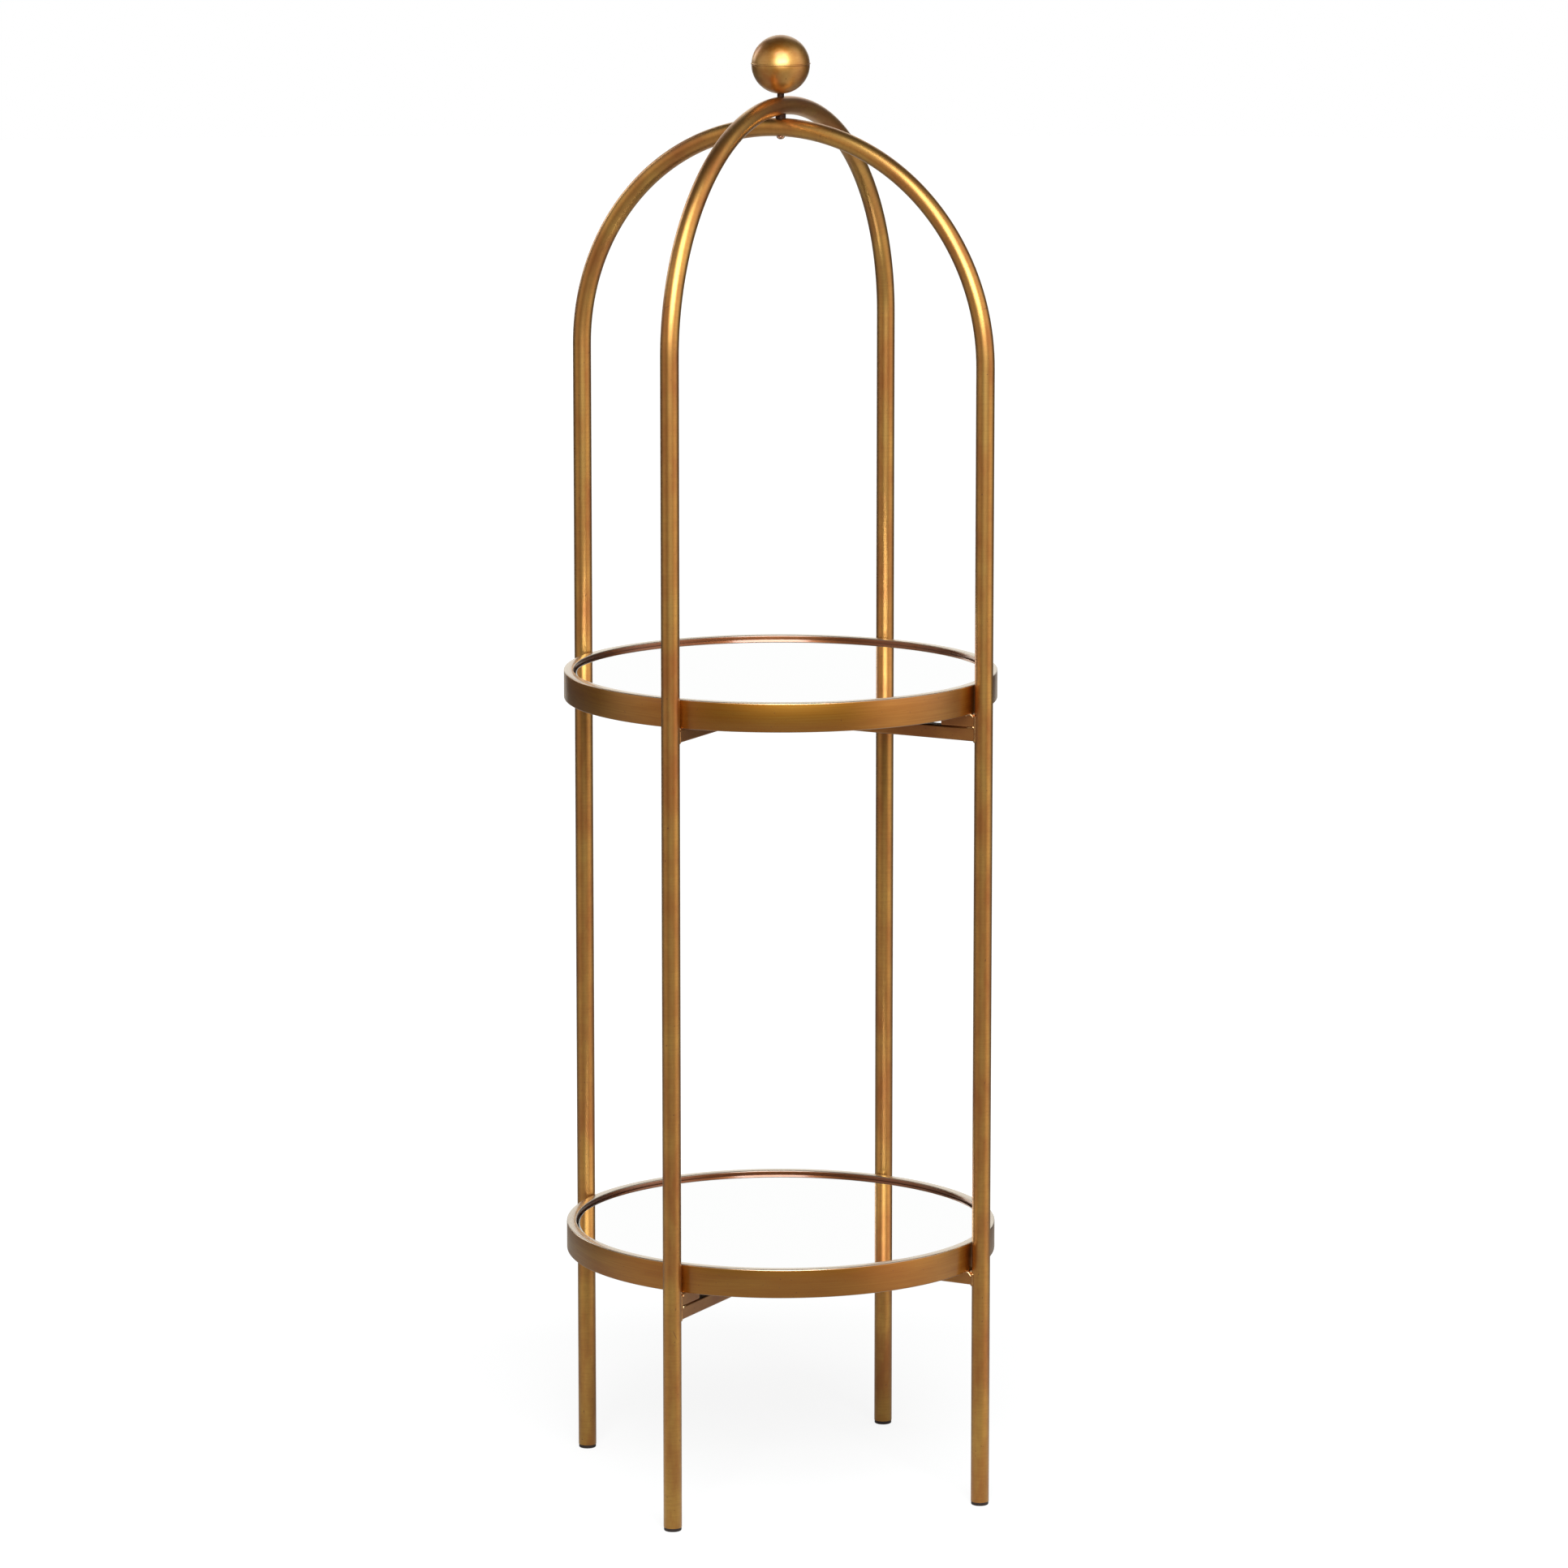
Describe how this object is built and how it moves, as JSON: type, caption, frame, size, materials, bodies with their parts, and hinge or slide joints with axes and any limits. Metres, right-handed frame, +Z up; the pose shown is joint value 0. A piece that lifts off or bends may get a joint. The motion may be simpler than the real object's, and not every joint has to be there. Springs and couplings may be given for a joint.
{
  "type": "shelving unit",
  "caption": "Round étagère with mirrored trays set in metal rims, held between tube legs that bend over into crossed arches under a ball finial.",
  "frame": {"origin": "on the floor, under the middle of the trays", "axes": "+Z up, -Y towards the front leg of the taller hoop, +X towards the right leg of the lower hoop"},
  "size_m": [0.415, 0.415, 1.2878],
  "materials": {
    "brass_tube": "satin antique brass, drawn along the tube, clear lacquered",
    "brass_rim": "antique brass brushed along the rim, clear lacquered",
    "brass_bar": "satin antique brass, brushed along the bar",
    "brass_ball": "polished antique brass, spun, clear lacquered",
    "brass_screw": "plated, satin",
    "dark_collar": "dark bronzed, semi-gloss",
    "insert_steel": "turned, zinc plated",
    "mirror_glass": "clear mirror with a ground arris",
    "black_board": "fibreboard, painted black, matte",
    "foot_plastic": "moulded, dark brown, matte"
  },
  "bodies": {
    "root": {"hoop_tall": "brass_tube", "hoop_low": "brass_tube", "finial_upper_shell": "brass_ball", "finial_lower_shell": "brass_ball", "finial_neck": "dark_collar", "hoop_spacer": "dark_collar", "finial_insert": "insert_steel", "hoop_screw": "brass_screw", "tray_rim_upper": "brass_rim", "tray_rim_lower": "brass_rim", "tray_board_upper": "black_board", "tray_board_lower": "black_board", "mirror_upper": "mirror_glass", "mirror_lower": "mirror_glass", "upper_bar_front_back": "brass_bar", "upper_bar_right_left": "brass_bar", "lower_bar_front_back": "brass_bar", "lower_bar_right_left": "brass_bar", "upper_tab_right": "brass_bar", "upper_tab_left": "brass_bar", "lower_tab_front": "brass_bar", "lower_tab_back": "brass_bar", "foot_front": "foot_plastic", "foot_right": "foot_plastic", "foot_back": "foot_plastic", "foot_left": "foot_plastic"}
  },
  "joints": []
}
